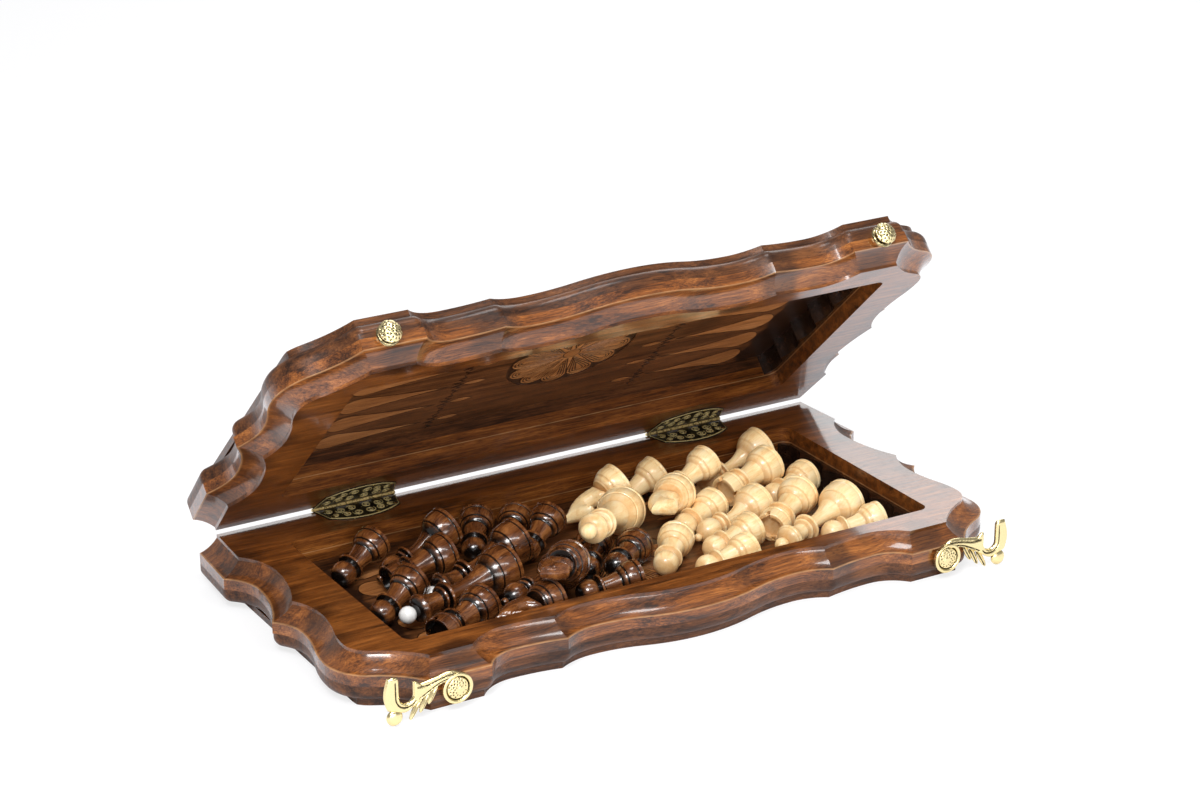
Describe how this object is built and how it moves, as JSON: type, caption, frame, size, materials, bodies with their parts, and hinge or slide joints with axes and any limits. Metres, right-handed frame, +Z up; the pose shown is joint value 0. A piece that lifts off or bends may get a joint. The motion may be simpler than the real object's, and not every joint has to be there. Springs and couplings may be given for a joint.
{
  "type": "chess and backgammon board",
  "caption": "Folding wooden game box, open: chess board outside, backgammon field inside, carved wavy edges, brass hook latches, with chessmen lying in the lower tray.",
  "frame": {"origin": "on the resting plane under the lower half's chess side, midway between its ends and 150 mm in front of the hinge edge", "axes": "+X along the hinge to the right, +Y from the latches to the hinge, +Z up out of the open lower half"},
  "size_m": [0.6014, 0.3342, 0.2743],
  "materials": {
    "lacquered_walnut": "gloss lacquer",
    "core_walnut": "gloss lacquer",
    "field_wood": "gloss lacquer",
    "spire_wood": "gloss lacquer",
    "burnt_wood": "gloss lacquer",
    "dark_veneer": "gloss lacquer",
    "light_veneer": "gloss lacquer",
    "light_man_wood": "satin lacquer",
    "dark_man_wood": "gloss lacquer",
    "white_lacquer": "gloss white lacquer",
    "antique_brass": "antiqued cast brass"
  },
  "bodies": {
    "base": {"base_border_inlay": "light_veneer", "base_chess_panel": "core_walnut", "base_core_frame": "core_walnut", "base_dark_squares": "dark_veneer", "base_field_board": "field_wood", "base_hinge_leaf_left": "antique_brass", "base_hinge_leaf_right": "antique_brass", "base_hinge_nails": "antique_brass", "base_light_squares": "light_veneer", "base_medallion": "spire_wood", "base_rim_frame": "lacquered_walnut", "base_spire_inlays": "spire_wood", "base_well_strip_left": "burnt_wood", "base_well_strip_right": "burnt_wood", "dark_bishops": "dark_man_wood", "dark_king": "dark_man_wood", "dark_knights": "dark_man_wood", "dark_men_finials": "white_lacquer", "dark_pawns": "dark_man_wood", "dark_queen": "dark_man_wood", "dark_rooks": "dark_man_wood", "hinge_pin_left": "antique_brass", "hinge_pin_right": "antique_brass", "hook_pivot_left": "antique_brass", "hook_pivot_right": "antique_brass", "hook_washer_left": "antique_brass", "hook_washer_right": "antique_brass", "light_bishops": "light_man_wood", "light_king": "light_man_wood", "light_knights": "light_man_wood", "light_men_finials": "light_man_wood", "light_pawns": "light_man_wood", "light_queen": "light_man_wood", "light_rooks": "light_man_wood"},
    "lid": {"latch_knob_left": "antique_brass", "latch_knob_right": "antique_brass", "lid_border_inlay": "light_veneer", "lid_chess_panel": "core_walnut", "lid_core_frame": "core_walnut", "lid_dark_squares": "dark_veneer", "lid_field_board": "field_wood", "lid_hinge_leaf_left": "antique_brass", "lid_hinge_leaf_right": "antique_brass", "lid_hinge_nails": "antique_brass", "lid_light_squares": "light_veneer", "lid_medallion": "spire_wood", "lid_rim_frame": "lacquered_walnut", "lid_spire_inlays": "spire_wood", "lid_well_strip_left": "burnt_wood", "lid_well_strip_right": "burnt_wood"},
    "hook_left": {"hook_left": "antique_brass"},
    "hook_right": {"hook_right": "antique_brass"}
  },
  "joints": [
    {"name": "lid_hinge", "type": "hinge", "parent": "base", "child": "lid", "pos_m": [0, 0.1513, 0.0418], "axis": [-1, 0, 0], "range_deg": [-42.9, 137.1]},
    {"name": "left_latch", "type": "hinge", "parent": "base", "child": "hook_left", "pos_m": [-0.22, -0.1527, 0.0179], "axis": [0, 1, 0], "range_deg": [0, 79]},
    {"name": "right_latch", "type": "hinge", "parent": "base", "child": "hook_right", "pos_m": [0.22, -0.1527, 0.0179], "axis": [0, -1, 0], "range_deg": [0, 79]}
  ]
}
